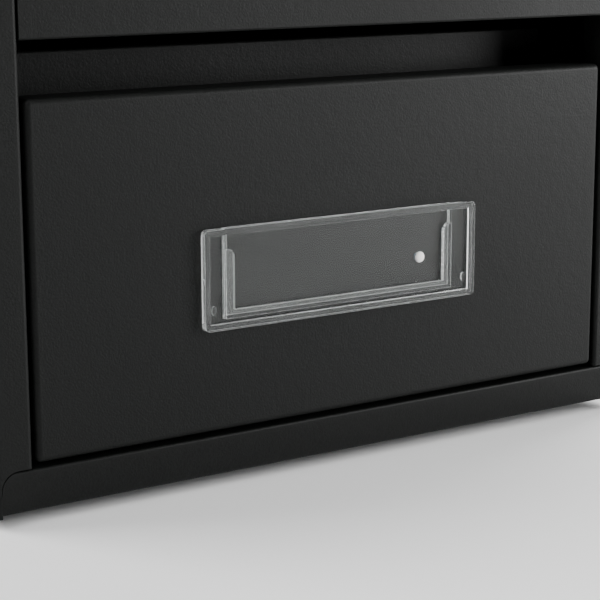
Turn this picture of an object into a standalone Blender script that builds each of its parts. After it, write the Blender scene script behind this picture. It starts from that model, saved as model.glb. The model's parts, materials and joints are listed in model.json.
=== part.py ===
"""A narrow four-drawer steel filing cabinet, in metres, +Z up, its front facing -Y.

The origin is under the middle of the cabinet, on the floor. Each drawer hangs from an empty
at the bottom edge of its front, and slides out along -Y.
"""

import math

import bmesh
import bpy
from mathutils import Matrix, Vector

# Case
WIDTH = 0.280
HEIGHT = 0.660
DEPTH = 0.400
SHEET = 0.0008
SEAM = 0.0004
OUTER_BEND = 0.0025
INNER_BEND = 0.0010
STILE_WIDTH = 0.0143
STILE_RETURN = 0.012
REAR_FLANGE = 0.014
LID_RIM = 0.0198
FLOOR_GAP = 0.004
CLEARANCE = 0.0003

# Rails
RAIL_HEIGHT = 0.0156
RAIL_FLANGE = 0.014
RAIL_CORNER = 0.006
RAIL_INSET = 0.003

# Drawers, numbered from the top. Y runs back from the face, Z up from the front's lower edge
DRAWERS = 4
FRONT_WIDTH = 0.2484
FRONT_HEIGHT = 0.123
FRONT_DEPTH = 0.015
FRONT_BEND = 0.0022
FRONT_LIP = 0.012
GAP_BELOW = 0.0016
GRIP_GAP = 0.019
TRAVEL = 0.300
TRAY_WIDTH = 0.226
TRAY_BOTTOM = 0.006
TRAY_TOP = 0.100
TRAY_LENGTH = 0.365
TRAY_BEND = 0.002
GRIP_WIDTH = 0.240
GRIP_FLOOR = 0.111
GRIP_TOP = 0.136
GRIP_DEPTH = 0.018
GRIP_LEDGE = 0.008

# Slides and runners
SLIDE_HEIGHT = 0.018
SLIDE_REACH = 0.1248
SLIDE_LEVEL = 0.045
SLIDE_LENGTH = 0.3285
RUNNER_SHEET = 0.0012
RUNNER_BEND = 0.0016
RUNNER_SPACE = 0.020
RUNNER_INNER_X = 0.117
RUNNER_START = 0.0165
RUNNER_END = 0.385
STOP_INNER_X = 0.127
GLIDE_LENGTH = 0.030
GLIDE_OUTER_X = 0.136
GLIDE_TONGUE = 0.015
GLIDE_STEP = 0.004

# Label holder and its rivet
LABEL_PROUD = 0.0030
LABEL_WIDTH = 0.1194
LABEL_LOW = 0.0377
LABEL_HIGH = 0.0739
LABEL_CORNER = 0.0015
LABEL_RIM = 0.0022
LABEL_PLATE = 0.0008
LIP_HALF_WIDTH = 0.0511
LIP_WIDTH = 0.0028
LIP_LOW = 0.0417
LIP_RISE = 0.0031
LIP_HIGH = 0.0664
LIP_SHEET = 0.0012
RIVET_X = 0.0347
RIVET_Z = 0.0546
RIVET_HEAD = 0.0021
RIVET_DOME = 0.0011
RIVET_SHANK = 0.0015
RIVET_HOLE = 0.0019
RIVET_TAIL = 0.0045

# Feet
FOOT_RADIUS = 0.012
FOOT_CHAMFER = 0.001
FOOT_INSET_X = 0.030
FOOT_INSET_Y = 0.045

FACE_Y = LABEL_PROUD - (DEPTH + LABEL_PROUD) / 2
BACK_Y = FACE_Y + DEPTH
RAIL_TOP = FLOOR_GAP + RAIL_HEIGHT
LID_LOW = HEIGHT - LID_RIM
PITCH = GAP_BELOW + FRONT_HEIGHT + GRIP_GAP + RAIL_HEIGHT
OPENING_HALF = WIDTH / 2 - STILE_WIDTH
SLIDE_START = FRONT_DEPTH + 2 * CLEARANCE + SHEET
GLIDE_START = SLIDE_START + SLIDE_LENGTH + CLEARANCE
STOP_END = GLIDE_START - TRAVEL - CLEARANCE
BASE_LEVEL = FLOOR_GAP + SHEET + 2 * CLEARANCE
BASE_FLANGE = 0.012
SIDES = (("left", -1), ("right", 1))

BLACK_PAINT = ((0.022, 0.023, 0.022), 0.45, 0.0)
BARE_STEEL = ((0.42, 0.43, 0.44), 0.35, 1.0)
CLEAR_PLASTIC = ((0.75, 0.77, 0.76), 0.12, 0.0)
WHITE_NYLON = ((0.80, 0.80, 0.78), 0.40, 0.0)
BLACK_PLASTIC = ((0.03, 0.03, 0.03), 0.55, 0.0)


def clear_scene():
    for item in list(bpy.data.objects):
        bpy.data.objects.remove(item)


def new_collection(name, hidden=False):
    group = bpy.data.collections.new(name)
    group.hide_render = hidden
    bpy.context.scene.collection.children.link(group)
    return group


def new_empty(name, place, group):
    point = bpy.data.objects.new(name, None)
    point.location = place
    point.empty_display_size = 0.02
    group.objects.link(point)
    return point


def new_finish(name, look):
    """A Principled material from a colour, a roughness and a metallic value."""
    colour, roughness, metallic = look
    finish = bpy.data.materials.new(name)
    finish.use_nodes = True
    shader = finish.node_tree.nodes["Principled BSDF"]
    shader.inputs["Base Color"].default_value = (*colour, 1.0)
    shader.inputs["Roughness"].default_value = roughness
    shader.inputs["Metallic"].default_value = metallic
    return finish


def new_piece(name, form, look):
    """An object from a bmesh, with its own material."""
    mesh = bpy.data.meshes.new(name)
    form.to_mesh(mesh)
    form.free()
    piece = bpy.data.objects.new(name, mesh)
    mesh.materials.append(new_finish(name + "_finish", look))
    PARTS.objects.link(piece)
    return piece


def as_cutter(piece):
    PARTS.objects.unlink(piece)
    CUTTERS.objects.link(piece)
    piece.hide_render = True
    piece.display_type = "WIRE"
    return piece


def settle(piece):
    """Applies a piece's modifiers and shades its round stretches smooth."""
    graph = bpy.context.evaluated_depsgraph_get()
    mesh = bpy.data.meshes.new_from_object(piece.evaluated_get(graph))
    mesh.name = piece.name
    piece.modifiers.clear()
    piece.data = mesh
    mesh.shade_smooth()
    mesh.set_sharp_from_angle(angle=math.radians(35))
    return piece


def on_axis(along, point, distance):
    """The 3-D point whose place across an axis is point, and whose place along it is distance."""
    place = list(point)
    place.insert("XYZ".index(along), distance)
    return Vector(place)


def add_bevel(piece, width, segments):
    bevel = piece.modifiers.new("bends", "BEVEL")
    bevel.limit_method = "WEIGHT"
    bevel.width = width
    bevel.segments = segments


def add_sheet(piece, thickness):
    sheet = piece.modifiers.new("sheet", "SOLIDIFY")
    sheet.thickness = thickness
    sheet.offset = -1
    sheet.use_even_offset = True


def add_boolean(piece, other, operation):
    join = piece.modifiers.new(other.name, "BOOLEAN")
    join.operation = operation
    join.object = other


def folded_sheet(name, corners, bends, along, start, end, thickness, outside, look):
    """A sheet bent at each inner corner of a path and drawn straight along an axis.

    corners are points across the axis, bends the outer radius at each inner corner, and
    outside the direction that the first face looks.
    """
    form = bmesh.new()
    weight = form.edges.layers.float.new("bevel_weight_edge")
    near = [form.verts.new(on_axis(along, point, start)) for point in corners]
    edges = [form.edges.new(pair) for pair in zip(near, near[1:])]
    drawn = bmesh.ops.extrude_edge_only(form, edges=edges)["geom"]
    far = [item for item in drawn if isinstance(item, bmesh.types.BMVert)]
    bmesh.ops.translate(form, verts=far, vec=on_axis(along, (0, 0), end - start))
    widest = max(bends)
    for corner, bend in zip(near[1:-1], bends):
        for edge in corner.link_edges:
            if edge.other_vert(corner) in far:
                edge[weight] = bend / widest
    form.normal_update()
    form.faces.ensure_lookup_table()
    first = min(form.faces, key=lambda face: (face.calc_center_median() - near[0].co).length)
    if first.normal.dot(Vector(outside)) < 0:
        bmesh.ops.reverse_faces(form, faces=form.faces[:])
    piece = new_piece(name, form, look)
    add_bevel(piece, widest, 3)
    add_sheet(piece, thickness)
    return piece


def block_form(low, high):
    """A bmesh box between two corners."""
    form = bmesh.new()
    low, high = Vector(low), Vector(high)
    size = Matrix.Diagonal((high - low).to_4d())
    size[3][3] = 1
    bmesh.ops.create_cube(form, size=1, matrix=Matrix.Translation((low + high) / 2) @ size)
    return form


def block(name, low, high, look):
    return new_piece(name, block_form(low, high), look)


def face_towards(form, direction):
    return max(form.faces, key=lambda face: face.normal.dot(Vector(direction)))


def open_pan(name, low, high, open_side, lip, bends, thickness, look):
    """A folded box with one open side, which keeps a lip of the given width round its opening.

    bends gives the radius at the edges away from the opening and at the opening's own edges.
    """
    form = block_form(low, high)
    form.normal_update()
    weight = form.edges.layers.float.new("bevel_weight_edge")
    mouth = face_towards(form, open_side)
    rim = set(mouth.edges)
    far_bend, rim_bend = bends
    widest = max(bends)
    for edge in form.edges:
        edge[weight] = (rim_bend if edge in rim else far_bend) / widest
    if lip:
        inset = bmesh.ops.inset_individual(form, faces=[mouth], thickness=lip)
        for face in inset["faces"]:
            for edge in face.edges:
                edge[weight] = edge[weight] if edge in rim else 0
    bmesh.ops.delete(form, geom=[mouth], context="FACES_ONLY")
    piece = new_piece(name, form, look)
    add_bevel(piece, widest, 3)
    add_sheet(piece, thickness)
    return piece


def turned(name, profile, steps, look):
    """A solid of revolution about Z, from a profile that runs down its outer side."""
    form = bmesh.new()
    points = [form.verts.new((radius, 0, level)) for radius, level in profile]
    for pair in zip(points, points[1:]):
        form.edges.new(pair)
    piece = new_piece(name, form, look)
    screw = piece.modifiers.new("turn", "SCREW")
    screw.steps = steps
    screw.render_steps = steps
    screw.use_merge_vertices = True
    screw.merge_threshold = 0.00001
    return piece


def rounded_outline(name, half_width, low, high, corner, depth):
    """A prism along Y, from 0 to depth, whose outline has rounded upper corners."""
    outline = bpy.data.curves.new(name, "CURVE")
    outline.dimensions = "2D"
    outline.fill_mode = "BOTH"
    outline.extrude = depth / 2
    turn = range(7)
    arc = [(math.sin(step * math.pi / 12), math.cos(step * math.pi / 12)) for step in turn]
    right = [(half_width - corner + corner * x, high - corner + corner * z) for x, z in arc]
    left = [(-x, z) for x, z in reversed(right)]
    points = left + right + [(half_width, low), (-half_width, low)]
    spline = outline.splines.new("POLY")
    spline.points.add(len(points) - 1)
    for vertex, (x, z) in zip(spline.points, points):
        vertex.co = (x, z, 0, 1)
    spline.use_cyclic_u = True
    drawn = bpy.data.objects.new(name, outline)
    PARTS.objects.link(drawn)
    graph = bpy.context.evaluated_depsgraph_get()
    form = bmesh.new()
    form.from_mesh(bpy.data.meshes.new_from_object(drawn.evaluated_get(graph)))
    bmesh.ops.remove_doubles(form, verts=form.verts[:], dist=0.000001)
    upright = Matrix.Translation((0, depth / 2, 0)) @ Matrix.Rotation(math.pi / 2, 4, "X")
    bmesh.ops.transform(form, matrix=upright, verts=form.verts[:])
    bpy.data.objects.remove(drawn)
    return as_cutter(new_piece(name, form, BLACK_PAINT))


def make_side_panels():
    """Side walls folded round to the front stiles, which stop above the bottom rail."""
    notch = rounded_outline(
        "rail_notch",
        WIDTH / 2 - RAIL_INSET + SEAM,
        0,
        RAIL_TOP + SEAM,
        RAIL_CORNER + SEAM,
        RAIL_FLANGE + FRONT_DEPTH,
    )
    notch.location.y = FACE_Y - FRONT_DEPTH
    for side, sign in SIDES:
        corners = [
            (sign * (WIDTH / 2 - REAR_FLANGE), BACK_Y),
            (sign * WIDTH / 2, BACK_Y),
            (sign * WIDTH / 2, FACE_Y),
            (sign * OPENING_HALF, FACE_Y),
            (sign * OPENING_HALF, FACE_Y + STILE_RETURN),
        ]
        bends = [OUTER_BEND, OUTER_BEND, INNER_BEND]
        top = LID_LOW - SEAM
        panel = folded_sheet(
            side + "_side_panel", corners, bends, "Z", FLOOR_GAP, top, SHEET, (0, 1, 0), BLACK_PAINT
        )
        add_boolean(panel, notch, "DIFFERENCE")
        settle(panel).parent = CASE


def make_top_panel():
    low = (-WIDTH / 2, FACE_Y, LID_LOW)
    high = (WIDTH / 2, BACK_Y, HEIGHT)
    lid = open_pan("top_panel", low, high, (0, 0, -1), 0, (OUTER_BEND, 0), SHEET, BLACK_PAINT)
    settle(lid).parent = CASE


def make_back_panel():
    half = WIDTH / 2 - OUTER_BEND
    rear = BACK_Y - SHEET - CLEARANCE
    low = (-half, rear - SHEET, FLOOR_GAP + CLEARANCE)
    high = (half, rear, HEIGHT - LID_RIM / 2)
    panel = block("back_panel", low, high, BLACK_PAINT)
    settle(panel).parent = CASE


def make_base_tray():
    half = WIDTH / 2 - SHEET - CLEARANCE
    corners = [
        (-half, BASE_LEVEL + BASE_FLANGE),
        (-half, BASE_LEVEL),
        (half, BASE_LEVEL),
        (half, BASE_LEVEL + BASE_FLANGE),
    ]
    start = FACE_Y + RAIL_FLANGE + CLEARANCE
    end = BACK_Y - 2 * (SHEET + CLEARANCE)
    bends = [INNER_BEND, INNER_BEND]
    base = folded_sheet(
        "base_tray", corners, bends, "Y", start, end, SHEET, (-1, 0, 0), BLACK_PAINT
    )
    settle(base).parent = CASE


def make_rail(name, low, half_width):
    """A channel that opens to the rear, its face flush with the stiles."""
    corners = [
        (FACE_Y + RAIL_FLANGE, low),
        (FACE_Y, low),
        (FACE_Y, low + RAIL_HEIGHT),
        (FACE_Y + RAIL_FLANGE, low + RAIL_HEIGHT),
    ]
    bends = [INNER_BEND, INNER_BEND]
    return folded_sheet(
        name, corners, bends, "X", -half_width, half_width, SHEET, (0, 0, -1), BLACK_PAINT
    )


def make_rails():
    half = WIDTH / 2 - RAIL_INSET
    outline = rounded_outline(
        "rail_outline", half, 0, RAIL_TOP, RAIL_CORNER, RAIL_FLANGE + 2 * FRONT_DEPTH
    )
    outline.location.y = FACE_Y - FRONT_DEPTH
    rail = make_rail("bottom_rail", FLOOR_GAP, half + RAIL_INSET)
    add_boolean(rail, outline, "INTERSECT")
    settle(rail).parent = CASE
    for number in range(1, DRAWERS):
        low = drawer_level(number) - GAP_BELOW - RAIL_HEIGHT
        divider = make_rail(f"divider_rail_{number}", low, OPENING_HALF - CLEARANCE)
        settle(divider).parent = CASE


def make_feet():
    top = BASE_LEVEL - CLEARANCE
    profile = [
        (0, top),
        (FOOT_RADIUS, top),
        (FOOT_RADIUS, FOOT_CHAMFER),
        (FOOT_RADIUS - FOOT_CHAMFER, 0),
        (0, 0),
    ]
    for row, y in (("front", FACE_Y + FOOT_INSET_Y), ("rear", BACK_Y - FOOT_INSET_Y)):
        for side, sign in SIDES:
            foot = turned(f"{row}_{side}_foot", profile, 24, BLACK_PLASTIC)
            foot.location = (sign * (WIDTH / 2 - FOOT_INSET_X), y, 0)
            settle(foot).parent = CASE


def drawer_level(number):
    """The height of the lower edge of a drawer's front, for drawers counted from the top."""
    return RAIL_TOP + GAP_BELOW + (DRAWERS - number) * PITCH


def runner_pattern(side, sign):
    """A fixed channel on the side wall, open towards the drawer, with a stop tab near its front."""
    half = RUNNER_SPACE / 2 + RUNNER_SHEET
    web = WIDTH / 2 - SHEET - CLEARANCE
    corners = [
        (sign * RUNNER_INNER_X, SLIDE_LEVEL - half),
        (sign * web, SLIDE_LEVEL - half),
        (sign * web, SLIDE_LEVEL + half),
        (sign * RUNNER_INNER_X, SLIDE_LEVEL + half),
    ]
    bends = [RUNNER_BEND, RUNNER_BEND]
    runner = folded_sheet(
        side + "_runner", corners, bends, "Y", RUNNER_START, RUNNER_END, RUNNER_SHEET, (0, 0, -1),
        BARE_STEEL,
    )
    across = sorted((sign * STOP_INNER_X, sign * (web - RUNNER_SHEET / 2)))
    reach = RUNNER_SPACE / 2 + RUNNER_SHEET / 2
    tab = block(
        side + "_stop_tab",
        (across[0], STOP_END - RUNNER_SHEET, SLIDE_LEVEL - reach),
        (across[1], STOP_END, SLIDE_LEVEL + reach),
        BARE_STEEL,
    )
    add_boolean(runner, as_cutter(tab), "UNION")
    return settle(runner)


def slide_pattern(side, sign):
    """The channel on a drawer's side, which nests in the runner."""
    inner = TRAY_WIDTH / 2 + CLEARANCE
    corners = [
        (sign * SLIDE_REACH, SLIDE_LEVEL - SLIDE_HEIGHT / 2),
        (sign * inner, SLIDE_LEVEL - SLIDE_HEIGHT / 2),
        (sign * inner, SLIDE_LEVEL + SLIDE_HEIGHT / 2),
        (sign * SLIDE_REACH, SLIDE_LEVEL + SLIDE_HEIGHT / 2),
    ]
    bends = [RUNNER_BEND, RUNNER_BEND]
    slide = folded_sheet(
        side + "_slide", corners, bends, "Y", SLIDE_START, SLIDE_START + SLIDE_LENGTH,
        RUNNER_SHEET, (0, 0, -1), BARE_STEEL,
    )
    return settle(slide)


def glide_pattern(side, sign):
    """A nylon block behind the slide, with a tongue that plugs into it."""
    inner = TRAY_WIDTH / 2 + CLEARANCE
    half = RUNNER_SPACE / 2 - CLEARANCE
    across = sorted((sign * inner, sign * GLIDE_OUTER_X))
    form = block_form(
        (across[0], GLIDE_START, SLIDE_LEVEL - half),
        (across[1], GLIDE_START + GLIDE_LENGTH, SLIDE_LEVEL + half),
    )
    form.normal_update()
    front = face_towards(form, (0, -1, 0))
    bmesh.ops.inset_individual(form, faces=[front], thickness=GLIDE_STEP)
    narrow = (sign * (SLIDE_REACH - GLIDE_OUTER_X), 0, 0)
    outer = [v for v in front.verts if sign * v.co.x > (inner + GLIDE_OUTER_X) / 2]
    bmesh.ops.translate(form, verts=outer, vec=narrow)
    tongue = bmesh.ops.extrude_discrete_faces(form, faces=[front])["faces"][0]
    bmesh.ops.translate(form, verts=tongue.verts[:], vec=(0, -GLIDE_TONGUE, 0))
    return settle(new_piece(side + "_glide", form, WHITE_NYLON))


def front_pattern():
    """A pan with rounded face edges and a lip round its back, drilled for the rivet."""
    low = (-FRONT_WIDTH / 2, 0, 0)
    high = (FRONT_WIDTH / 2, FRONT_DEPTH, FRONT_HEIGHT)
    bends = (FRONT_BEND, INNER_BEND)
    front = open_pan("front", low, high, (0, 1, 0), FRONT_LIP, bends, SHEET, BLACK_PAINT)
    add_boolean(front, RIVET_BORE, "DIFFERENCE")
    return settle(front)


def tray_pattern():
    start = FRONT_DEPTH + CLEARANCE
    low = (-TRAY_WIDTH / 2, start, TRAY_BOTTOM)
    high = (TRAY_WIDTH / 2, start + TRAY_LENGTH, TRAY_TOP)
    return settle(
        open_pan("tray", low, high, (0, 0, 1), 0, (TRAY_BEND, 0), SHEET, BLACK_PAINT)
    )


def grip_pattern():
    """A trough behind the top edge of the front, with a raised back wall that closes the gap."""
    start = FRONT_DEPTH + CLEARANCE
    corners = [
        (start + SHEET, FRONT_HEIGHT - SHEET),
        (start + SHEET, GRIP_FLOOR),
        (start + GRIP_DEPTH, GRIP_FLOOR),
        (start + GRIP_DEPTH, GRIP_TOP),
        (start + GRIP_DEPTH + GRIP_LEDGE, GRIP_TOP),
    ]
    bends = [INNER_BEND, INNER_BEND, INNER_BEND]
    half = GRIP_WIDTH / 2
    grip = folded_sheet(
        "grip_channel", corners, bends, "X", -half, half, SHEET, (0, 1, 0), BLACK_PAINT
    )
    return settle(grip)


def label_bracket(name, wall, low, high, near, far):
    """A U open at the top, of the given wall, from a block less its inside."""
    half = LIP_HALF_WIDTH
    bracket = block(name, (-half, far, low), (half, near, high), CLEAR_PLASTIC)
    rise = LIP_RISE if wall == LIP_WIDTH else wall
    inside = block(
        name + "_inside",
        (wall - half, far - LABEL_PROUD, low + rise),
        (half - wall, near + LABEL_PROUD, high + LABEL_PROUD),
        CLEAR_PLASTIC,
    )
    add_boolean(bracket, as_cutter(inside), "DIFFERENCE")
    return as_cutter(settle(bracket))


def is_along_y(mesh, edge):
    start, end = (mesh.vertices[index].co for index in edge.vertices)
    return abs(end.y - start.y) > (end - start).length / 2


def label_pattern():
    """A clear tray with a raised rim, and inside it a U of lips that holds a card."""
    half = LABEL_WIDTH / 2
    floor = -CLEARANCE - LABEL_PLATE
    holder = block(
        "label_holder", (-half, -LABEL_PROUD, LABEL_LOW), (half, -CLEARANCE, LABEL_HIGH),
        CLEAR_PLASTIC,
    )
    corners = [edge for edge in holder.data.edges if is_along_y(holder.data, edge)]
    weights = holder.data.attributes.new("bevel_weight_edge", "FLOAT", "EDGE")
    for edge in corners:
        weights.data[edge.index].value = 1
    add_bevel(holder, LABEL_CORNER, 3)
    pocket = block(
        "label_pocket",
        (LABEL_RIM - half, -2 * LABEL_PROUD, LABEL_LOW + LABEL_RIM),
        (half - LABEL_RIM, floor, LABEL_HIGH - LABEL_RIM),
        CLEAR_PLASTIC,
    )
    overlap = LABEL_PLATE / 4
    rib_high = LABEL_HIGH - LABEL_RIM / 2
    rib = label_bracket(
        "label_rib", LIP_SHEET, LIP_LOW, rib_high, floor + overlap, LIP_SHEET - LABEL_PROUD - overlap
    )
    lip = label_bracket(
        "label_lip", LIP_WIDTH, LIP_LOW, LIP_HIGH, LIP_SHEET - LABEL_PROUD, -LABEL_PROUD
    )
    add_boolean(holder, as_cutter(pocket), "DIFFERENCE")
    add_boolean(holder, rib, "UNION")
    add_boolean(holder, lip, "UNION")
    add_boolean(holder, RIVET_BORE, "DIFFERENCE")
    return settle(holder)


def make_rivet_hole():
    form = bmesh.new()
    turn = Matrix.Translation((RIVET_X, 0, RIVET_Z)) @ Matrix.Rotation(math.pi / 2, 4, "X")
    bmesh.ops.create_cone(
        form, cap_ends=True, segments=16, radius1=RIVET_HOLE, radius2=RIVET_HOLE,
        depth=4 * LABEL_PROUD, matrix=turn,
    )
    return as_cutter(new_piece("rivet_hole", form, CLEAR_PLASTIC))


def rivet_pattern():
    """A push rivet with a domed head, which looks along -Y on the holder's floor."""
    seat = 2 * CLEARANCE + LABEL_PLATE
    quarter = [step * math.pi / 8 for step in range(5)]
    profile = [
        (RIVET_HEAD * math.sin(angle), seat + RIVET_DOME * math.cos(angle)) for angle in quarter
    ]
    profile += [(RIVET_SHANK, seat), (RIVET_SHANK, -RIVET_TAIL), (0, -RIVET_TAIL)]
    rivet = turned("label_rivet", profile, 16, WHITE_NYLON)
    settle(rivet)
    upright = Matrix.Translation((RIVET_X, 0, RIVET_Z)) @ Matrix.Rotation(math.pi / 2, 4, "X")
    rivet.data.transform(upright)
    return rivet


def place_copy(pattern, name, parent):
    """A piece of its own on a pattern's mesh, placed by its parent."""
    piece = bpy.data.objects.new(name, pattern.data)
    piece.parent = parent
    PARTS.objects.link(piece)


def make_drawers():
    moving = [front_pattern(), tray_pattern(), grip_pattern(), label_pattern(), rivet_pattern()]
    fixed = []
    for side, sign in SIDES:
        moving += [slide_pattern(side, sign), glide_pattern(side, sign)]
        fixed.append(runner_pattern(side, sign))
    for number in range(1, DRAWERS + 1):
        place = (0, FACE_Y, drawer_level(number))
        drawer = new_empty(f"drawer_{number}", place, PARTS)
        bay = new_empty(f"bay_{number}", place, PARTS)
        bay.parent = CASE
        for pattern in moving:
            place_copy(pattern, f"drawer_{number}_{pattern.name}", drawer)
        for pattern in fixed:
            place_copy(pattern, f"drawer_{number}_{pattern.name}", bay)
    for pattern in moving + fixed:
        bpy.data.objects.remove(pattern)


clear_scene()
PARTS = new_collection("filing_cabinet")
CUTTERS = new_collection("cutters", hidden=True)
CASE = new_empty("cabinet", (0, 0, 0), PARTS)
RIVET_BORE = make_rivet_hole()
make_side_panels()
make_top_panel()
make_back_panel()
make_base_tray()
make_rails()
make_feet()
make_drawers()
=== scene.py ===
# %% [markdown]
# # A narrow steel filing cabinet
# The cabinet is folded from thin sheet steel and powder coated in matt black. Four drawers run
# in channels on the side walls, and each one carries a clear label holder held by a push rivet.
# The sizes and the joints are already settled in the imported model, so this lesson only makes
# the surfaces that are seen: soft bends, seams, hems, moulded plastic, and their finishes.

# %% Load the cabinet's frame
import json
import math

import bmesh
import bpy
from mathutils import Matrix, Vector

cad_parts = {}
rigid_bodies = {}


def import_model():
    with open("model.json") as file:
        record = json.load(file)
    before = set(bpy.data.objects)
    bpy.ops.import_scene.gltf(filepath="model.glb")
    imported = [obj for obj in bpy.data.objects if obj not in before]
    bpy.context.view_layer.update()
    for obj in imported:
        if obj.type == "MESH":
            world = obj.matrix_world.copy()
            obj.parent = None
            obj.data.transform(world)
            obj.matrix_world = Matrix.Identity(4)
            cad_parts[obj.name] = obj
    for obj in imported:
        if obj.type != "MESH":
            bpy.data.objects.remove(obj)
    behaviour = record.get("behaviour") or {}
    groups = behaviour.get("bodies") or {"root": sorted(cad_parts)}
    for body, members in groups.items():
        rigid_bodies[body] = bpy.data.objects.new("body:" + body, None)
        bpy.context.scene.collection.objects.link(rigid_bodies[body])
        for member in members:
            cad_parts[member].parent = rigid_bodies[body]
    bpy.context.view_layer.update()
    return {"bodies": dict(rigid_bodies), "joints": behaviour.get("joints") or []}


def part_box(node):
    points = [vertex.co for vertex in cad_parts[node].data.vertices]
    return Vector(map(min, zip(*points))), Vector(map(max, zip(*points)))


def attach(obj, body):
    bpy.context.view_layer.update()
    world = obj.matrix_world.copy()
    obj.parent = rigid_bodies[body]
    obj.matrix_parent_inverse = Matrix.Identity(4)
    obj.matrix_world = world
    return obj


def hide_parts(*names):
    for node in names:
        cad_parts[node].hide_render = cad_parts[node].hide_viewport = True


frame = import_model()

DRAWERS = [body for body in frame["bodies"] if body.startswith("drawer")]
MM = 0.001

# %% [markdown]
# ## The camera
# A long lens, low and to the left of the fronts, looks at the lowest drawer. A long lens keeps
# the straight folded edges calm: a short one from nearer would splay them.

# %% Place the camera
CAMERA_PLACE = (-0.3618, -0.7293, 0.2020)
CAMERA_TURN = -32.9
CAMERA_TILT = 77.8
CAMERA_ROLL = -0.2
LENS = 106.56


def turn(degrees, axis):
    return Matrix.Rotation(math.radians(degrees), 4, axis)


eye = bpy.data.objects.new("camera", bpy.data.cameras.new("camera"))
bpy.context.scene.collection.objects.link(eye)
eye.data.lens = LENS
eye.data.clip_start = 0.01
eye.matrix_world = (
    Matrix.Translation(CAMERA_PLACE)
    @ turn(CAMERA_TURN, "Z")
    @ turn(CAMERA_TILT, "X")
    @ turn(CAMERA_ROLL, "Z")
)
bpy.context.scene.camera = eye
print("camera at", CAMERA_PLACE)

# %% [markdown]
# ## Working in edit mode from code
# Every operator acts on what is selected, so each step first deselects everything and then
# picks faces or edges by their place. These helpers do only that, and keep the steps short.

# %% Helpers that start a piece and pick its parts
def deselect_all():
    if bpy.context.mode != "OBJECT":
        bpy.ops.object.mode_set(mode="OBJECT")
    bpy.ops.object.select_all(action="DESELECT")


def activate(piece):
    deselect_all()
    piece.select_set(True)
    bpy.context.view_layer.objects.active = piece


def apply_place(piece):
    activate(piece)
    bpy.ops.object.transform_apply(location=True, rotation=True, scale=True)


def add_block(name, low, high):
    """A cube primitive stretched between two corners."""
    deselect_all()
    middle = [(a + b) / 2 for a, b in zip(low, high)]
    size = [b - a for a, b in zip(low, high)]
    bpy.ops.mesh.primitive_cube_add(size=1, location=middle, scale=size)
    piece = bpy.context.object
    piece.name = name
    apply_place(piece)
    return piece


def edit(piece, kind="EDGE"):
    """Opens a piece in edit mode with nothing selected."""
    activate(piece)
    bpy.ops.object.mode_set(mode="EDIT")
    bpy.ops.mesh.select_mode(type=kind)
    bpy.ops.mesh.select_all(action="DESELECT")


def pick(piece, test):
    """Selects the edges or faces, whichever the mode is on, for which the test holds."""
    form = bmesh.from_edit_mesh(piece.data)
    form.normal_update()
    edges = bpy.context.tool_settings.mesh_select_mode[1]
    chosen = 0
    for item in form.edges if edges else form.faces:
        if test(item):
            item.select_set(True)
            chosen += 1
    form.select_flush_mode()
    bmesh.update_edit_mesh(piece.data)
    return chosen


def close(piece):
    bpy.ops.object.mode_set(mode="OBJECT")
    return piece


def middle_of(edge):
    return (edge.verts[0].co + edge.verts[1].co) / 2


def runs_along(edge, axis):
    step = edge.verts[1].co - edge.verts[0].co
    return abs(step["XYZ".index(axis)]) > 0.99 * step.length


def near(a, b, within=1e-5):
    return abs(a - b) < within


# %% Helpers that round, thicken, cut and smooth
def round_edges(piece, test, radius, segments=6):
    edit(piece)
    count = pick(piece, test)
    if count:
        bpy.ops.mesh.bevel(
            offset=radius, offset_type="OFFSET", segments=segments, affect="EDGES", clamp_overlap=True
        )
    close(piece)
    return count


def apply_modifier(piece, kind, **settings):
    modifier = piece.modifiers.new(kind.lower(), kind)
    for name, value in settings.items():
        setattr(modifier, name, value)
    activate(piece)
    bpy.ops.object.modifier_apply(modifier=modifier.name)


def thicken(piece, thickness):
    """Gives an open surface its sheet thickness, inwards from the side that its faces show."""
    apply_modifier(piece, "SOLIDIFY", thickness=thickness, offset=-1, use_even_offset=True)


def soften(piece, width, segments=2, angle=40, material=-1):
    """A small bevel along every edge that turns by more than the angle."""
    apply_modifier(
        piece,
        "BEVEL",
        width=width,
        segments=segments,
        limit_method="ANGLE",
        angle_limit=math.radians(angle),
        use_clamp_overlap=True,
        material=material,
    )


def combine(piece, other, operation):
    apply_modifier(piece, "BOOLEAN", object=other, operation=operation)
    bpy.data.objects.remove(other)


def smooth(piece, angle=30):
    activate(piece)
    bpy.ops.object.shade_smooth_by_angle(angle=math.radians(angle))
    return piece


def face_out(piece):
    edit(piece, "FACE")
    bpy.ops.mesh.select_all(action="SELECT")
    bpy.ops.mesh.remove_doubles(threshold=1e-6)
    bpy.ops.mesh.normals_make_consistent(inside=False)
    return close(piece)


# %% [markdown]
# ## Folding a sheet
# A press brake bends a flat sheet along straight lines, so the model does the same: a plane is
# the first stretch, each further stretch is extruded from its last edge, and each fold line is
# bevelled to its bend radius. Only then does the sheet get its thickness, which keeps the inner
# and the outer radius true to each other.

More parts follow.
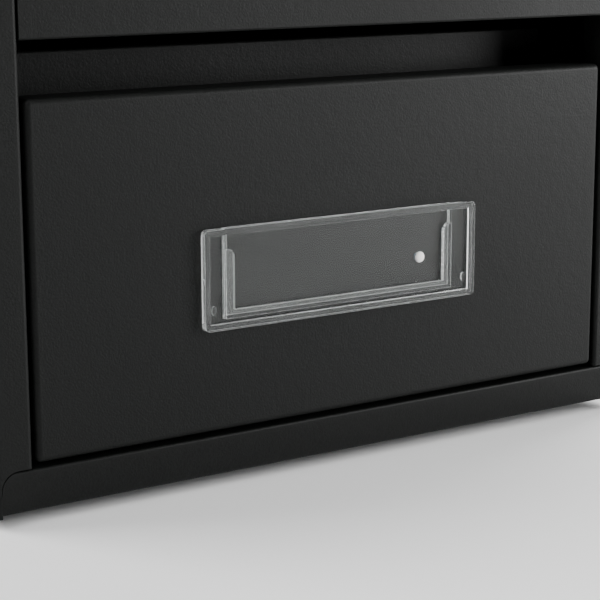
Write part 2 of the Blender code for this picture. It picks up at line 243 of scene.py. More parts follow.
# %% A helper that folds a sheet
def fold_sheet(name, corners, bends, axis, start, end, thickness, segments=6):
    """A sheet whose section has these corners, drawn along an axis. Its outer side looks along
    path x axis, the cross product of the two directions. Without a thickness it stays open."""

    def place(point, level):
        spot = list(point)
        spot.insert("XYZ".index(axis), level)
        return Vector(spot)

    deselect_all()
    bpy.ops.mesh.primitive_plane_add(size=1)
    piece = bpy.context.object
    piece.name = name
    first = [place(corners[0], start), place(corners[0], end)]
    second = [place(corners[1], start), place(corners[1], end)]
    for vertex, spot in zip(piece.data.vertices, (first[0], second[0], first[1], second[1])):
        vertex.co = spot
    for here, there in zip(corners[1:], corners[2:]):
        edit(piece)
        ends = {tuple(round(v, 6) for v in place(here, level)) for level in (start, end)}
        pick(piece, lambda e: {tuple(round(v, 6) for v in p.co) for p in e.verts} == ends)
        step = place(there, 0) - place(here, 0)
        bpy.ops.mesh.extrude_region_move(TRANSFORM_OT_translate={"value": step})
        close(piece)
    for corner, radius in zip(corners[1:-1], bends):
        spot = place(corner, (start + end) / 2)
        round_edges(
            piece,
            lambda e: runs_along(e, axis) and (middle_of(e) - spot).length < 1e-5,
            radius,
            segments,
        )
    if thickness:
        thicken(piece, thickness)
    return piece


print("helpers ready")

# %% [markdown]
# ## Finishes
# A fine-texture powder coat is matt and slightly pebbled: the powder melts into low bumps under
# a millimetre across. Two noises make it, one for the pebble and one for the slower orange peel,
# and both drive a bump so that the grain catches the light as the real coat does. The colour
# and the roughness vary only a little, because the coat is one even black.

# %% Small tools for node materials
def new_finish(name, colour, roughness, metallic=0.0):
    """A new Principled material, with its node tree and its shader."""
    finish = bpy.data.materials.new(name)
    finish.use_nodes = True
    tree = finish.node_tree
    shader = tree.nodes["Principled BSDF"]
    shader.inputs["Base Color"].default_value = (*colour, 1)
    shader.inputs["Roughness"].default_value = roughness
    shader.inputs["Metallic"].default_value = metallic
    return finish, tree, shader


def add_node(tree, kind, **inputs):
    node = tree.nodes.new(kind)
    for name, value in inputs.items():
        node.inputs[name.replace("_", " ")].default_value = value
    return node


def add_noise(tree, scale, detail=2.0, stretch=(1, 1, 1)):
    """A noise on object coordinates; scale is its cells per metre."""
    place = tree.nodes.new("ShaderNodeTexCoord")
    mapping = add_node(tree, "ShaderNodeMapping", Scale=stretch)
    tree.links.new(place.outputs["Object"], mapping.inputs["Vector"])
    noise = add_node(tree, "ShaderNodeTexNoise", Scale=scale, Detail=detail)
    tree.links.new(mapping.outputs["Vector"], noise.inputs["Vector"])
    return noise.outputs["Fac"]


def remap(tree, value, low, high):
    """Spreads the middle of a noise over the range from low to high."""
    spread = add_node(tree, "ShaderNodeMapRange", From_Min=0.3, From_Max=0.7, To_Min=low, To_Max=high)
    tree.links.new(value, spread.inputs["Value"])
    return spread.outputs["Result"]


def add_bump(tree, height, depth, under=None):
    bump = add_node(tree, "ShaderNodeBump", Strength=1.0, Distance=depth)
    tree.links.new(height, bump.inputs["Height"])
    if under is not None:
        tree.links.new(under, bump.inputs["Normal"])
    return bump.outputs["Normal"]


def blend_colours(tree, factor, first, second):
    mix = tree.nodes.new("ShaderNodeMix")
    mix.data_type = "RGBA"
    mix.inputs["A"].default_value = (*first, 1)
    mix.inputs["B"].default_value = (*second, 1)
    tree.links.new(factor, mix.inputs["Factor"])
    return mix.outputs["Result"]


# %% The black fine-texture powder coat
COAT_DARK = (0.0026, 0.0028, 0.0026)
COAT_LIGHT = (0.0060, 0.0068, 0.0063)


def make_powder_coat():
    finish, tree, shader = new_finish("powder coat", COAT_DARK, 0.5)
    shader.inputs["Specular IOR Level"].default_value = 0.125
    pebble = add_noise(tree, 1300, 3)
    peel = add_noise(tree, 260, 1)
    cloud = add_noise(tree, 9, 2)
    colour = blend_colours(tree, remap(tree, pebble, 0, 1), COAT_DARK, COAT_LIGHT)
    tree.links.new(colour, shader.inputs["Base Color"])
    rough = remap(tree, cloud, 0.46, 0.54)
    tree.links.new(rough, shader.inputs["Roughness"])
    normal = add_bump(tree, pebble, 0.00009, add_bump(tree, peel, 0.00006))
    tree.links.new(normal, shader.inputs["Normal"])
    return finish


POWDER_COAT = make_powder_coat()
print("made", POWDER_COAT.name)

# %% [markdown]
# Clear moulded polystyrene is glassy, with a slight haze from the mould and a faint waviness
# where it cooled. The thick rims are mistier than the thin plate. Four strengths of one finish say
# so. The palest one is a painted highlight: a half-diffuse, whitish finish on the rounded edges and
# on the walls that look inwards, standing for light that runs inside the plastic and leaves there.
# Real polystyrene bends light with an index near 1.59. The index here is set lower: at the true one
# the thin plate mirrors so much of the room that it hides the dark steel.
# The white nylon of rivets and glides is soft and lets a little light into it.

# %% Clear plastic and nylon
PLASTIC_INDEX = 1.3
MIST_SCALE = 900
WAVE_SCALE = 70
WAVE_HEIGHT = 0.00002


def make_clear_plastic(name, clearness, gloss):
    """Clearness is the share of light that goes straight in; the rest is scattered as haze."""
    finish, tree, shader = new_finish(name, (0.90, 0.93, 0.92), gloss)
    shader.inputs["IOR"].default_value = PLASTIC_INDEX
    haze = add_noise(tree, MIST_SCALE, 2)
    spread = (1 - clearness) / 4
    cloudy = remap(tree, haze, clearness - spread, clearness + spread)
    tree.links.new(cloudy, shader.inputs["Transmission Weight"])
    tree.links.new(remap(tree, haze, gloss * 0.7, gloss * 1.3), shader.inputs["Roughness"])
    wave = add_noise(tree, WAVE_SCALE, 1)
    tree.links.new(add_bump(tree, wave, WAVE_HEIGHT), shader.inputs["Normal"])
    return finish


def make_nylon():
    finish, tree, shader = new_finish("white nylon", (0.86, 0.86, 0.84), 0.42)
    shader.inputs["Subsurface Weight"].default_value = 0.25
    shader.inputs["Subsurface Scale"].default_value = 0.001
    shader.inputs["Subsurface Radius"].default_value = (1.0, 0.9, 0.8)
    skin = add_noise(tree, 1500, 2)
    tone = blend_colours(tree, add_noise(tree, 60, 2), (0.84, 0.84, 0.81), (0.89, 0.89, 0.87))
    tree.links.new(tone, shader.inputs["Base Color"])
    tree.links.new(add_bump(tree, skin, 0.00002), shader.inputs["Normal"])
    return finish


CLEAR_PLASTIC = make_clear_plastic("clear polystyrene", 0.9985, 0.06)
WINDOW_PLASTIC = make_clear_plastic("clear polystyrene, window", 0.9955, 0.14)
MISTY_PLASTIC = make_clear_plastic("clear polystyrene, thick", 0.965, 0.12)
# Painted highlight: this pale, half-diffuse strength goes on the label holder's rounded edges and
# inward walls, standing for light that runs inside the plastic and leaves there.
PAINTED_HIGHLIGHT_PLASTIC = make_clear_plastic("clear polystyrene, edges", 0.45, 0.25)
WHITE_NYLON = make_nylon()
print("made", CLEAR_PLASTIC.name, "and", WHITE_NYLON.name)

# %% [markdown]
# The runners are zinc-plated strip: a metal with fine draw lines along its length and a cloudy
# bloom. The feet are black moulded plastic with a spark-eroded grain.

# %% Zinc-plated steel and black plastic
def make_zinc_plate():
    finish, tree, shader = new_finish("zinc plate", (0.55, 0.56, 0.57), 0.35, 1.0)
    bloom = add_noise(tree, 90, 4)
    tone = blend_colours(tree, remap(tree, bloom, 0, 1), (0.44, 0.45, 0.47), (0.62, 0.63, 0.63))
    tree.links.new(tone, shader.inputs["Base Color"])
    lines = add_noise(tree, 2200, 2, stretch=(1, 0.02, 1))
    tree.links.new(remap(tree, lines, 0.26, 0.46), shader.inputs["Roughness"])
    tree.links.new(add_bump(tree, lines, 0.00002), shader.inputs["Normal"])
    return finish


def make_foot_plastic():
    finish, tree, shader = new_finish("foot plastic", (0.02, 0.02, 0.02), 0.6)
    grain = add_noise(tree, 1800, 3)
    tone = blend_colours(tree, grain, (0.016, 0.016, 0.016), (0.030, 0.030, 0.031))
    tree.links.new(tone, shader.inputs["Base Color"])
    tree.links.new(add_bump(tree, grain, 0.00005), shader.inputs["Normal"])
    return finish


ZINC_PLATE = make_zinc_plate()
FOOT_PLASTIC = make_foot_plastic()
print("made", ZINC_PLATE.name, "and", FOOT_PLASTIC.name)


# %% A helper that finishes a piece and hides the parts it stands for
def finish_piece(piece, body, nodes, finish=None, angle=30):
    """Smooths a piece, coats it unless it has its finishes already, and fixes it to its body."""
    smooth(piece, angle)
    apply_modifier(piece, "WEIGHTED_NORMAL", keep_sharp=True)
    if finish:
        piece.data.materials.clear()
        piece.data.materials.append(finish)
    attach(piece, body)
    if nodes:
        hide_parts(*nodes)
    print(piece.name, len(piece.data.polygons), "faces")


# %% [markdown]
# ## The case
# Two folded side panels carry everything. Each one turns the corner to the front as a narrow
# stile, whose inner edge is folded back. The stile stops on the bottom rail with a fine seam,
# and the rail's upper corners are rounded, so the panel is notched to the same outline.

# %% Sizes taken from the frame
RAIL_LOW, RAIL_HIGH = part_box("bottom_rail")
LID_LOW, LID_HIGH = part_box("top_panel")
SIDE_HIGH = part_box("right_side_panel")[1]
FACE = RAIL_LOW.y
BACK = SIDE_HIGH.y
HALF = SIDE_HIGH.x
SHEET = 0.8 * MM
EDGE = 0.12 * MM
STILE = 14.3 * MM
RETURN = 12 * MM
OUTER_BEND = 2.5 * MM
INNER_BEND = 1.0 * MM
STILE_BEND = 1.7 * MM
OPENING = HALF - STILE
RAIL_HALF = RAIL_HIGH.x
RAIL_CORNER = 6 * MM
SEAM = 0.4 * MM
print("face at", round(FACE, 4), "opening half width", round(OPENING, 4))


# %% Side panels with their stiles
def cut_block(name, half, low, high, corner, depth):
    """A block along Y with rounded upper corners, to cut a panel or trim a rail."""
    cutter = add_block(name, (-half, FACE - depth, low), (half, FACE + depth, high))
    upper = lambda e: runs_along(e, "Y") and near(middle_of(e).z, high)
    round_edges(cutter, upper, corner, 10)
    return cutter


def make_side_panel(side, sign):
    low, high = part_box(side + "_side_panel")
    flange = (sign * (HALF - 14 * MM), BACK)
    corners = [
        (sign * OPENING, FACE + RETURN),
        (sign * OPENING, FACE),
        (sign * HALF, FACE),
        (sign * HALF, BACK),
        flange,
    ]
    bends = [STILE_BEND, OUTER_BEND, OUTER_BEND]
    if sign < 0:
        corners.reverse()
        bends.reverse()
    panel = fold_sheet(side + "_side", corners, bends, "Z", low.z, high.z, SHEET, 8)
    notch = cut_block("notch", RAIL_HALF + SEAM, 0, RAIL_HIGH.z + SEAM, RAIL_CORNER + SEAM, 14.6 * MM)
    combine(panel, notch, "DIFFERENCE")
    soften(panel, EDGE)
    finish_piece(panel, "cabinet", [side + "_side_panel"], POWDER_COAT)


for side, sign in (("left", -1), ("right", 1)):
    make_side_panel(side, sign)

# %% [markdown]
# The bottom rail is a channel that opens to the rear. Its face is not quite flat: it leaves the
# top bend upright and rolls gently back to the lower edge, as a pressed rail does. A short
# chain of stretches with a growing slope makes that roll, and the smooth shading joins it.

# %% The bottom rail
RAIL_DEPTH = 14 * MM
ROLL_DEPTH = 2.4 * MM
ROLL_STEPS = 8
ROLL_POWER = 1.5
ROLL_BEND = 1.6 * MM


def rail_face(low, high):
    """The face's section from its top bend to its lower edge, as (y, z) points."""
    points = []
    for step in range(ROLL_STEPS + 1):
        part = step / ROLL_STEPS
        points.append((FACE + ROLL_DEPTH * part**ROLL_POWER, high + (low - high) * part))
    return points


def make_bottom_rail():
    face_points = rail_face(RAIL_LOW.z, RAIL_HIGH.z)
    corners = [(FACE + RAIL_DEPTH, RAIL_HIGH.z), *face_points, (FACE + RAIL_DEPTH, RAIL_LOW.z)]
    bends = [INNER_BEND] + [0] * (len(face_points) - 2) + [ROLL_BEND]
    rail = fold_sheet("lower_rail", corners, bends, "X", -RAIL_HALF, RAIL_HALF, SHEET, 6)
    outline = cut_block("outline", RAIL_HALF - MM / 100, -HALF, RAIL_HIGH.z, RAIL_CORNER, HALF)
    combine(rail, outline, "INTERSECT")
    soften(rail, EDGE)
    finish_piece(rail, "cabinet", ["bottom_rail"], POWDER_COAT)


make_bottom_rail()

# %% The rails between the drawers
def make_divider(number):
    low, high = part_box(f"divider_rail_{number}")
    corners = [(high.y, high.z), (low.y, high.z), (low.y, low.z), (high.y, low.z)]
    bends = [INNER_BEND, INNER_BEND]
    rail = fold_sheet(f"middle_rail_{number}", corners, bends, "X", low.x, high.x, SHEET)
    soften(rail, EDGE)
    finish_piece(rail, "cabinet", [f"divider_rail_{number}"], POWDER_COAT)


for number in (1, 2, 3):
    make_divider(number)

# %% [markdown]
# The lid is one pressed pan, turned upside down over the side panels. Its lower face is taken
# off, every remaining edge is rounded, and the open shell is thickened inwards.

# %% The lid
def make_lid():
    lid = add_block("lid", LID_LOW, LID_HIGH)
    edit(lid, "FACE")
    pick(lid, lambda f: f.normal.z < -0.9)
    bpy.ops.mesh.delete(type="FACE")
    close(lid)
    round_edges(lid, lambda e: not e.is_boundary, OUTER_BEND, 8)
    thicken(lid, SHEET)
    soften(lid, EDGE)
    finish_piece(lid, "cabinet", ["top_panel"], POWDER_COAT)


make_lid()

# %% [markdown]
# The back is a flat sheet, stiffened by two tall fields pressed inwards with sloping sides. The
# base has one such field. Both come from one helper: inset a face, push it in, round its edges.

# %% A helper that presses a field into a sheet
def press_field(piece, test, margin, slope, depth, bend):
    """Insets the chosen face by a margin, then presses its middle in by depth."""
    edit(piece, "FACE")
    pick(piece, test)
    bpy.ops.mesh.inset(thickness=margin)
    bpy.ops.mesh.inset(thickness=slope, depth=-depth)
    bpy.ops.mesh.select_mode(type="EDGE")
    bpy.ops.mesh.bevel(offset=bend, segments=4, affect="EDGES")
    close(piece)


# %% The back panel
FIELD_MARGIN = 18 * MM
FIELD_SLOPE = 3 * MM
FIELD_DEPTH = 1.6 * MM


def make_back():
    low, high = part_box("back_panel")
    deselect_all()
    bpy.ops.mesh.primitive_plane_add(size=1, rotation=(-math.pi / 2, 0, 0))
    back = bpy.context.object
    back.name = "back_sheet"
    back.scale = (high.x - low.x, high.z - low.z, 1)
    back.location = (0, high.y, (low.z + high.z) / 2)
    apply_place(back)
    edit(back, "FACE")
    bpy.ops.mesh.select_all(action="SELECT")
    bpy.ops.mesh.bisect(plane_co=(0, 0, 0), plane_no=(1, 0, 0))
    close(back)
    for sign in (-1, 1):
        chosen = lambda f: sign * f.calc_center_median().x > 0 and f.calc_area() > 0.06
        press_field(back, chosen, FIELD_MARGIN, FIELD_SLOPE, FIELD_DEPTH, MM)
    thicken(back, SHEET)
    finish_piece(back, "cabinet", ["back_panel"], POWDER_COAT)


make_back()

# %% The base
def make_base():
    low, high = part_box("base_tray")
    corners = [(high.x, high.z), (high.x, low.z), (low.x, low.z), (low.x, high.z)]
    base = fold_sheet("base_sheet", corners, [INNER_BEND] * 2, "Y", low.y, high.y, None)
    press_field(base, lambda f: f.normal.z < -0.9999, 40 * MM, FIELD_SLOPE, FIELD_DEPTH, MM)
    thicken(base, SHEET)
    soften(base, EDGE)
    finish_piece(base, "cabinet", ["base_tray"], POWDER_COAT)


make_base()

# %% [markdown]
# ## Feet
# A foot is a turned shape, so its half section is drawn once and spun round: a flat pad with a
# rounded rim, a neck, a seat against the base, and a sunk hole underneath for its screw.

# %% A helper that spins a section
def spin_profile(name, points, steps=48):
    """Spins a half section of (radius, height) points, which starts and ends on the Z axis."""
    deselect_all()
    bpy.ops.mesh.primitive_plane_add(size=1)
    piece = bpy.context.object
    piece.name = name
    edit(piece, "VERT")
    bpy.ops.mesh.select_all(action="SELECT")
    bpy.ops.mesh.merge(type="CENTER")
    bpy.ops.transform.translate(value=(points[0][0], 0, points[0][1]))
    for before, after in zip(points, points[1:]):
        step = (after[0] - before[0], 0, after[1] - before[1])
        bpy.ops.mesh.extrude_vertices_move(TRANSFORM_OT_translate={"value": step})
    bpy.ops.mesh.select_all(action="SELECT")
    bpy.ops.mesh.spin(steps=steps, angle=2 * math.pi, center=(0, 0, 0), axis=(0, 0, 1))
    close(piece)
    return face_out(piece)


def arc(centre, radius, start, end, steps=6):
    """Points of an arc in a section, from one angle to another, in degrees."""
    angles = [math.radians(start + (end - start) * step / steps) for step in range(steps + 1)]
    return [(centre[0] + radius * math.cos(a), centre[1] + radius * math.sin(a)) for a in angles]


# %% The four feet
FOOT_LOW, FOOT_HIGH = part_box("front_left_foot")
FOOT_RADIUS = (FOOT_HIGH.x - FOOT_LOW.x) / 2
FOOT_TOP = FOOT_HIGH.z
HOLE_RADIUS = 3.2 * MM
RIM = 0.8 * MM


def make_foot():
    section = [(0, 2.6 * MM), (HOLE_RADIUS, 2.6 * MM)]
    section += arc((HOLE_RADIUS + RIM, RIM), RIM, 180, 270)
    section += arc((FOOT_RADIUS - RIM, RIM), RIM, 270, 360)
    section += arc((FOOT_RADIUS - RIM, 3.2 * MM), RIM, 0, 90)
    section += [(FOOT_RADIUS - 2 * MM, 4 * MM), (FOOT_RADIUS - 2 * MM, FOOT_TOP), (0, FOOT_TOP)]
    return spin_profile("foot", section)


def twin_of(piece, name, shift):
    """A copy with its own mesh, moved by a shift."""
    twin = bpy.data.objects.new(name, piece.data.copy())
    bpy.context.scene.collection.objects.link(twin)
    twin.data.transform(Matrix.Translation(shift))
    return twin


foot_pattern = make_foot()
for row in ("front", "rear"):
    for side in ("left", "right"):
        low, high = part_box(f"{row}_{side}_foot")
        shift = ((low.x + high.x) / 2, (low.y + high.y) / 2, 0)
        foot = twin_of(foot_pattern, f"foot_{row}_{side}", shift)
        finish_piece(foot, "cabinet", [f"{row}_{side}_foot"], FOOT_PLASTIC)
bpy.data.objects.remove(foot_pattern)

# %% [markdown]
# ## The drawers
# Every drawer is the same, so each piece is modelled once, for the lowest drawer, and copied up
# with a mesh of its own. The grain of the finish is worked out from where a surface lies, so
# no two copies show the same grain.

# %% A helper that gives every drawer its copy
LOWEST = DRAWERS[-1]
BASE_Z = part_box(LOWEST + "_front")[0].z


def give_each_drawer(pattern, part, finish, body=None, angle=30):
    for drawer in DRAWERS:
        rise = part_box(drawer + "_front")[0].z - BASE_Z
        number = drawer[-1]
        piece = twin_of(pattern, f"{pattern.name}_{number}", (0, 0, rise))
        finish_piece(piece, body or drawer, [f"{drawer}_{part}"], finish, angle)
    bpy.data.objects.remove(pattern)


# %% [markdown]
# The front is a shallow pan. Its face edges are rounded wide enough to show as a soft dark
# border beside the gap, and a lip is folded in round the back, which welds to the tray.

# %% Drawer fronts
FRONT_BEND = 2.2 * MM
FRONT_LIP = 12 * MM
RIVET_LOW, RIVET_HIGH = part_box(LOWEST + "_label_rivet")
RIVET_X = (RIVET_LOW.x + RIVET_HIGH.x) / 2
RIVET_Z = (RIVET_LOW.z + RIVET_HIGH.z) / 2
BORE = 1.9 * MM


def add_bore():
    deselect_all()
    bpy.ops.mesh.primitive_cylinder_add(
        vertices=32, radius=BORE, depth=12 * MM, location=(RIVET_X, FACE, RIVET_Z),
        rotation=(math.pi / 2, 0, 0),
    )
    cutter = bpy.context.object
    apply_place(cutter)
    return cutter


def make_front():
    low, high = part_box(LOWEST + "_front")
    front = add_block("front", low, high)
    edit(front, "FACE")
    pick(front, lambda f: f.normal.y > 0.9)
    bpy.ops.mesh.inset(thickness=FRONT_LIP)
    bpy.ops.mesh.delete(type="FACE")
    close(front)
    at_rear = lambda e: all(near(v.co.y, high.y) for v in e.verts)
    round_edges(front, lambda e: not e.is_boundary and not at_rear(e), FRONT_BEND, 8)
    is_rim = lambda e: at_rear(e) and not e.is_boundary and len(
        {round(f.normal.y, 1) for f in e.link_faces}
    ) == 2
    round_edges(front, is_rim, INNER_BEND, 4)
    thicken(front, SHEET)
    combine(front, add_bore(), "DIFFERENCE")
    soften(front, EDGE)
    return front


give_each_drawer(make_front(), "front", POWDER_COAT)

# %% [markdown]
# The tray is an open box whose top edge is hemmed: the sheet is folded in and down, so that no
# raw edge meets the hand. The top face is inset by the hem's width, pushed down by its height
# and then taken away, which leaves exactly that folded wall.

# %% Drawer trays
HEM_WIDTH = 2.6 * MM
HEM_HEIGHT = 8 * MM
TRAY_BEND = 2 * MM
HEM_BEND = 0.9 * MM


def make_tray():
    low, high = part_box(LOWEST + "_tray")
    tray = add_block("tray", low, high)
    edit(tray, "FACE")
    pick(tray, lambda f: f.normal.z > 0.9)
    bpy.ops.mesh.inset(thickness=HEM_WIDTH)
    bpy.ops.mesh.extrude_region_move(TRANSFORM_OT_translate={"value": (0, 0, -HEM_HEIGHT)})
    bpy.ops.mesh.delete(type="FACE")
    close(tray)
    below = lambda e: middle_of(e).z < high.z - HEM_HEIGHT
    outer = lambda e: not e.is_boundary and below(e)
    round_edges(tray, outer, TRAY_BEND, 4)
    on_top = lambda e: all(near(v.co.z, high.z) for v in e.verts)
    is_fold = lambda e: on_top(e) and any(abs(f.normal.z) < 0.5 for f in e.link_faces)
    round_edges(tray, is_fold, HEM_BEND, 4)
    thicken(tray, SHEET)
    soften(tray, EDGE)
    return tray


give_each_drawer(make_tray(), "tray", POWDER_COAT)

# %% [markdown]
# Fingers reach over the front's top edge into a folded trough. Its back wall rises behind the
# gap and closes the view into the drawer.

# %% Grip channels
def make_grip():
    low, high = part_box(LOWEST + "_grip_channel")
    front_low, front_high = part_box(LOWEST + "_front")
    wall = low.y + 18 * MM
    corners = [
        (high.y, high.z),
        (wall, high.z),
        (wall, low.z + SHEET),
        (low.y + SHEET, low.z + SHEET),
        (low.y + SHEET, front_high.z - SHEET),
    ]
    grip = fold_sheet("grip", corners, [INNER_BEND] * 3, "X", low.x, high.x, SHEET, 5)
    soften(grip, EDGE)
    return grip


give_each_drawer(make_grip(), "grip_channel", POWDER_COAT)

# %% [markdown]
# ## Slides, runners and glides
# The drawer's slide is a channel that nests inside the fixed runner's channel. A nylon glide
# behind it fills the runner, carries the rear of the drawer, and meets the stop tab at full
# travel. Slides and runners are plated strip with punched slots along their webs.

# %% Channels with punched slots
STRIP = 1.2 * MM
STRIP_BEND = 1.6 * MM
SLOT_LENGTH = 16 * MM
SLOT_HEIGHT = 5 * MM
SLOTS = 6


def punch_slots(piece, x, low_y, high_y, z):
    """Cuts a row of round-ended slots through a web that stands across X."""
    for index in range(SLOTS):
        y = low_y + (high_y - low_y) * (index + 0.5) / SLOTS
        low = (x - 3 * STRIP, y - SLOT_LENGTH / 2, z - SLOT_HEIGHT / 2)
        high = (x + 3 * STRIP, y + SLOT_LENGTH / 2, z + SLOT_HEIGHT / 2)
        cutter = add_block("slot", low, high)
        round_edges(cutter, lambda e: runs_along(e, "X"), SLOT_HEIGHT / 2 * 0.98, 5)
        combine(piece, cutter, "DIFFERENCE")


def make_channel(name, part, web, lips, sign):
    """A channel along Y, with its web at one x and its lips' ends at another."""
    low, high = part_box(f"{LOWEST}_{part}")
    corners = [(lips, high.z), (web, high.z), (web, low.z), (lips, low.z)]
    if (web - lips) < 0:
        corners.reverse()
    channel = fold_sheet(name, corners, [STRIP_BEND] * 2, "Y", low.y, high.y, STRIP, 4)
    punch_slots(channel, web, low.y, high.y, (low.z + high.z) / 2)
    return channel


def make_runner(side, sign):
    low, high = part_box(f"{LOWEST}_{side}_runner")
    web, lips = (low.x, high.x) if sign < 0 else (high.x, low.x)
    runner = make_channel(f"runner_{side}", f"{side}_runner", web, lips, sign)
    glide_low, glide_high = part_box(f"{LOWEST}_{side}_glide")
    joint = frame["joints"][0]["range_m"][1]
    tab_end = glide_low.y + 15 * MM - joint - 0.3 * MM
    inner = sign * 127 * MM
    across = sorted((inner, web - sign * STRIP / 2))
    tab = add_block(
        "tab",
        (across[0], tab_end - STRIP, low.z + STRIP / 2),
        (across[1], tab_end, high.z - STRIP / 2),
    )
    combine(runner, tab, "UNION")
    soften(runner, EDGE)
    return runner


def make_slide(side, sign):
    low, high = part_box(f"{LOWEST}_{side}_slide")
    web, lips = (high.x, low.x) if sign < 0 else (low.x, high.x)
    slide = make_channel(f"slide_{side}", f"{side}_slide", web, lips, sign)
    soften(slide, EDGE)
    return slide


for side, sign in (("left", -1), ("right", 1)):
    give_each_drawer(make_runner(side, sign), f"{side}_runner", ZINC_PLATE, "cabinet")
    give_each_drawer(make_slide(side, sign), f"{side}_slide", ZINC_PLATE)

# %% Nylon glides
TONGUE = 15 * MM
TONGUE_STEP = 4 * MM
GLIDE_EDGE = 1.2 * MM


def make_glide(side, sign):
    low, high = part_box(f"{LOWEST}_{side}_glide")
    start = low.y + TONGUE
    glide = add_block(f"glide_{side}", (low.x, start, low.z), high)
    round_edges(glide, lambda e: not all(near(v.co.y, start) for v in e.verts), GLIDE_EDGE, 4)
    reach = sign * 124.8 * MM
    root = high.x if sign < 0 else low.x
    across = sorted((root + sign * TONGUE_STEP, reach - sign * TONGUE_STEP))
    tongue = add_block(
        "tongue",
        (across[0], low.y, low.z + TONGUE_STEP),
        (across[1], start + MM, high.z - TONGUE_STEP),
    )
    round_edges(tongue, lambda e: middle_of(e).y < start, MM, 3)
    combine(glide, tongue, "UNION")
    soften(glide, EDGE)
    return glide


for side, sign in (("left", -1), ("right", 1)):
    give_each_drawer(make_glide(side, sign), f"{side}_glide", WHITE_NYLON)

# %% [markdown]
# ## The label holder
# It is one clear moulding: a thin plate with a raised rim, and inside the rim a U of lips that
# stand off the plate by a card's thickness on two ribs. Between the ribs and the rim the plate
# is bare. The rim's corners are rounded, and the lips' upper ends curve out into the ribs.
# The rim comes from an inset and a push inwards; the ribs and the lips are blocks that are cut
# to a U and joined on.

# %% Sizes of the label holder
LABEL_LOW, LABEL_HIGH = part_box(LOWEST + "_label_holder")
PLATE = 0.8 * MM
RIM_WIDTH = 2.2 * MM
RIM_CORNER = 1.8 * MM
RIB = 1.1 * MM
LIP_CENTRE = -1.4 * MM
LIP_HALF = 50.2 * MM
LIP_WIDTH = 3.5 * MM
LIP_STEP = 0.4 * MM
LIP_RISE = 3.1 * MM
LIP_LOW = BASE_Z + 41.7 * MM
LIP_HIGH = BASE_Z + 66.6 * MM
LIP_CURVE = 2.6 * MM
LIP_SHEET = 1.6 * MM
MOULD_EDGE = 0.28 * MM
FLOOR = LABEL_HIGH.y - PLATE
BROW_RISE = 0.25 * MM


def add_u(name, half, wall, rise, low, high, near_y, far_y):
    """A U that is open at the top: a block less the block inside it."""
    left, right = LIP_CENTRE - half, LIP_CENTRE + half
    shape = add_block(name, (left, near_y, low), (right, far_y, high))
    inside = add_block(
        "inside",
        (left + wall, near_y - MM, low + rise),
        (right - wall, far_y + MM, high + MM),
    )
    combine(shape, inside, "DIFFERENCE")
    return shape


# %% The label holder and its rivet
def make_rim():
    rim = add_block("label", LABEL_LOW, LABEL_HIGH)
    edit(rim, "FACE")
    pick(rim, lambda f: f.normal.y < -0.9)
    bpy.ops.mesh.inset(thickness=RIM_WIDTH)
    depth = FLOOR - LABEL_LOW.y
    bpy.ops.mesh.extrude_region_move(TRANSFORM_OT_translate={"value": (0, depth, 0)})
    close(rim)
    outside = lambda e: near(abs(middle_of(e).x), LABEL_HIGH.x)
    round_edges(rim, lambda e: runs_along(e, "Y") and outside(e), RIM_CORNER, 8)
    inside = lambda e: abs(middle_of(e).x) < LABEL_HIGH.x - MM
    round_edges(rim, lambda e: runs_along(e, "Y") and inside(e), RIM_WIDTH / 5, 4)
    return rim


def make_lips():
    half = LIP_HALF - LIP_STEP
    back = LABEL_LOW.y + LIP_SHEET
    lips = add_u("lips", half, LIP_WIDTH, LIP_RISE, LIP_LOW, LIP_HIGH, LABEL_LOW.y, back)
    inner = half - LIP_WIDTH
    is_tip = lambda e: runs_along(e, "Y") and near(middle_of(e).z, LIP_HIGH) and near(
        abs(middle_of(e).x - LIP_CENTRE), inner
    )
    round_edges(lips, is_tip, LIP_CURVE, 8)
    return lips


PAD_HALF = (0.85 * MM, 1.65 * MM)
PAD_RISE = 0.45 * MM
PAD_PLACE = (55.4 * MM, BASE_Z + 44.8 * MM)
GATE_RADIUS = 0.9 * MM
GATE_RISE = 0.2 * MM


def add_round(name, radius, depth, place, turned):
    """A short cylinder primitive laid along Y or X."""
    deselect_all()
    bpy.ops.mesh.primitive_cylinder_add(
        vertices=32, radius=radius, depth=depth, location=place, rotation=turned
    )
    piece = bpy.context.object
    piece.name = name
    apply_place(piece)
    return piece


def add_pad(sign):
    """An oval pad on the plate, where a pin pushed the moulding out of its mould."""
    depth = PLATE / 2 + PAD_RISE
    place = (sign * PAD_PLACE[0], FLOOR + PLATE / 2 - depth / 2, PAD_PLACE[1])
    pad = add_round("pad", PAD_HALF[0], depth, place, (math.pi / 2, 0, 0))
    edit(pad, "FACE")
    bpy.ops.mesh.select_all(action="SELECT")
    tall = (1, 1, PAD_HALF[1] / PAD_HALF[0])
    bpy.ops.transform.resize(value=tall, center_override=place)
    return close(pad)


def add_gate():
    """The stub where the clear plastic ran into the mould, on the left end of the rim."""
    place = (LABEL_LOW.x, (LABEL_LOW.y + FLOOR) / 2, (LABEL_LOW.z + LABEL_HIGH.z) / 2)
    return add_round("gate", GATE_RADIUS, 2 * GATE_RISE, place, (0, math.pi / 2, 0))


LABEL_FINISHES = (CLEAR_PLASTIC, WINDOW_PLASTIC, MISTY_PLASTIC, PAINTED_HIGHLIGHT_PLASTIC)


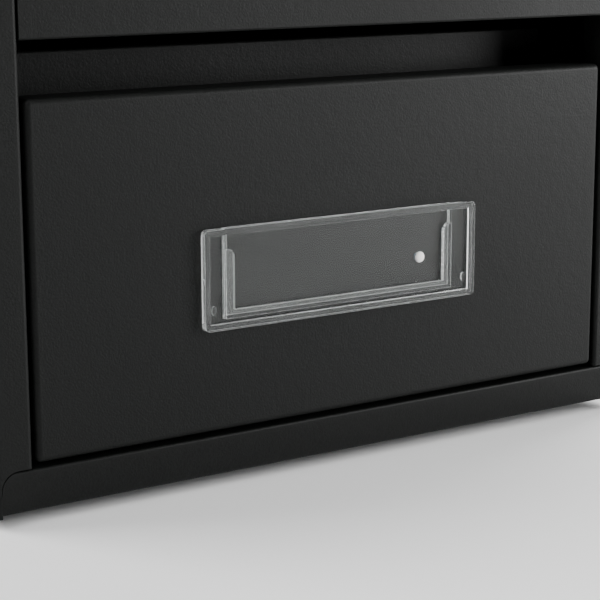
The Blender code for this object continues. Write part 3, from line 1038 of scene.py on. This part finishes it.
def finish_number(face):
    """The plate is clear round the ribs and a little hazy in the window that the card covers.
    What stands in front of it is thick, and so misty. The rounded edges and the walls of the ribs
    and lips that look inwards at the card get the pale edge finish. It is a painted highlight for
    light that runs inside the plastic and leaves there. The upward rounded edges along the bottom
    rim, in the groove under the lips, keep the misty finish instead, so the groove reads darker, as
    painted shade."""
    place, normal = face.center, face.normal
    across = place.x - LIP_CENTRE
    if face.material_index:
        # Painted shade and highlight: upward bevel faces in the groove under the lips stay misty and
        # darker, and all other bevel faces take the painted edge highlight.
        groove_in_shade = place.z < LABEL_LOW.z + RIM_WIDTH + MOULD_EDGE and normal.z > 0.2
        return 2 if groove_in_shade else 3
    if place.y > FLOOR - PAD_RISE / 2:
        in_window = abs(across) < LIP_HALF - RIB and place.z > LIP_LOW + RIB
        return 1 if in_window else 0
    # Painted highlight: walls of the ribs and lips that look inwards at the card take the pale edge
    # finish.
    looks_in = -normal.x * math.copysign(1, across) > 0.9
    return 3 if looks_in and abs(across) < LIP_HALF else 2


def sort_finishes(label):
    for face in label.data.polygons:
        face.material_index = finish_number(face)


def make_label():
    label = make_rim()
    for finish in LABEL_FINISHES:
        label.data.materials.append(finish)
    top = LABEL_HIGH.z - RIM_WIDTH / 2
    rib_front = LABEL_LOW.y + LIP_STEP
    ribs = add_u("ribs", LIP_HALF, RIB, RIB, LIP_LOW, top, rib_front, FLOOR + PLATE / 3)
    brow = add_block(
        "brow",
        (LIP_CENTRE - LIP_HALF, LABEL_LOW.y, LABEL_HIGH.z - RIM_WIDTH / 2),
        (LIP_CENTRE + LIP_HALF, LABEL_HIGH.y - PLATE / 4, LABEL_HIGH.z + BROW_RISE),
    )
    for other in (ribs, make_lips(), brow, add_pad(-1), add_pad(1), add_gate()):
        combine(label, other, "UNION")
    combine(label, add_bore(), "DIFFERENCE")
    # The bevel faces take the fourth finish, the pale edge one, as a painted highlight.
    soften(label, MOULD_EDGE, 3, 35, material=3)
    for corner in label.data.vertices:
        corner.co.y = max(corner.co.y, LABEL_LOW.y)
    sort_finishes(label)
    return label


HEAD = 2.1 * MM
DOME = 1.1 * MM
SHANK = 1.5 * MM


def make_rivet():
    """A push rivet whose domed head sits on the plate, spun upright and then laid over."""
    seat = FLOOR - 0.05 * MM
    tail = RIVET_HIGH.y
    length = tail - seat
    section = [(0, DOME)]
    section += [
        (HEAD * math.sin(math.radians(a)), DOME * math.cos(math.radians(a)) ** 0.8)
        for a in range(10, 90, 10)
    ]
    section += [(HEAD, 0), (SHANK, 0), (SHANK, -length * 0.6), (SHANK * 0.7, -length), (0, -length)]
    rivet = spin_profile("rivet", section, 40)
    rivet.rotation_euler = (math.pi / 2, 0, 0)
    rivet.location = (RIVET_X, seat, RIVET_Z)
    apply_place(rivet)
    return rivet


give_each_drawer(make_label(), "label_holder", None)
give_each_drawer(make_rivet(), "label_rivet", WHITE_NYLON)

# %% [markdown]
# ## Floor and light
# The cabinet stands on a plain pale floor. The main light is a big soft box to the right of the
# fronts and rather low, so the fronts grow lighter towards the right. A weaker one fills from
# the upper left, one hangs overhead, and two stand behind for the sides and the back. The
# room itself is nearly dark, which keeps the gaps round the drawers black.

# %% Floor, room and lights
AIM = Vector((0, FACE, 0.08))
ROOM_LIGHT = 0.06


def add_floor():
    deselect_all()
    bpy.ops.mesh.primitive_plane_add(size=30, location=(0, 0, 0))
    floor = bpy.context.object
    floor.name = "floor"
    apply_place(floor)
    paper, tree, shader = new_finish("floor paper", (0.90, 0.90, 0.90), 0.9)
    floor.data.materials.append(paper)


def add_room():
    room = bpy.data.worlds.new("room")
    bpy.context.scene.world = room
    room.use_nodes = True
    room.node_tree.nodes["Background"].inputs["Color"].default_value = (1, 1, 1, 1)
    room.node_tree.nodes["Background"].inputs["Strength"].default_value = ROOM_LIGHT


def add_softbox(name, round_from_front, height_angle, distance, size, power):
    """A square soft light; both angles are in degrees, the first one turning towards the right."""
    across = math.radians(round_from_front)
    up = math.radians(height_angle)
    out = Vector((math.sin(across) * math.cos(up), -math.cos(across) * math.cos(up), math.sin(up)))
    lamp = bpy.data.lights.new(name, "AREA")
    lamp.shape = "SQUARE"
    lamp.size = size
    lamp.energy = power
    box = bpy.data.objects.new(name, lamp)
    bpy.context.scene.collection.objects.link(box)
    box.location = AIM + distance * out
    box.rotation_euler = (-out).to_track_quat("-Z", "Y").to_euler()


add_floor()
add_room()
add_softbox("main light", 55, 13, 1.8, 1.0, 54)
add_softbox("left fill", -70, 45, 1.8, 1.0, 16)
add_softbox("overhead", 20, 85, 2.1, 1.4, 14)
add_softbox("behind left", -130, 40, 2.0, 1.2, 40)
add_softbox("behind right", 125, 45, 2.0, 1.2, 40)
print("lit")
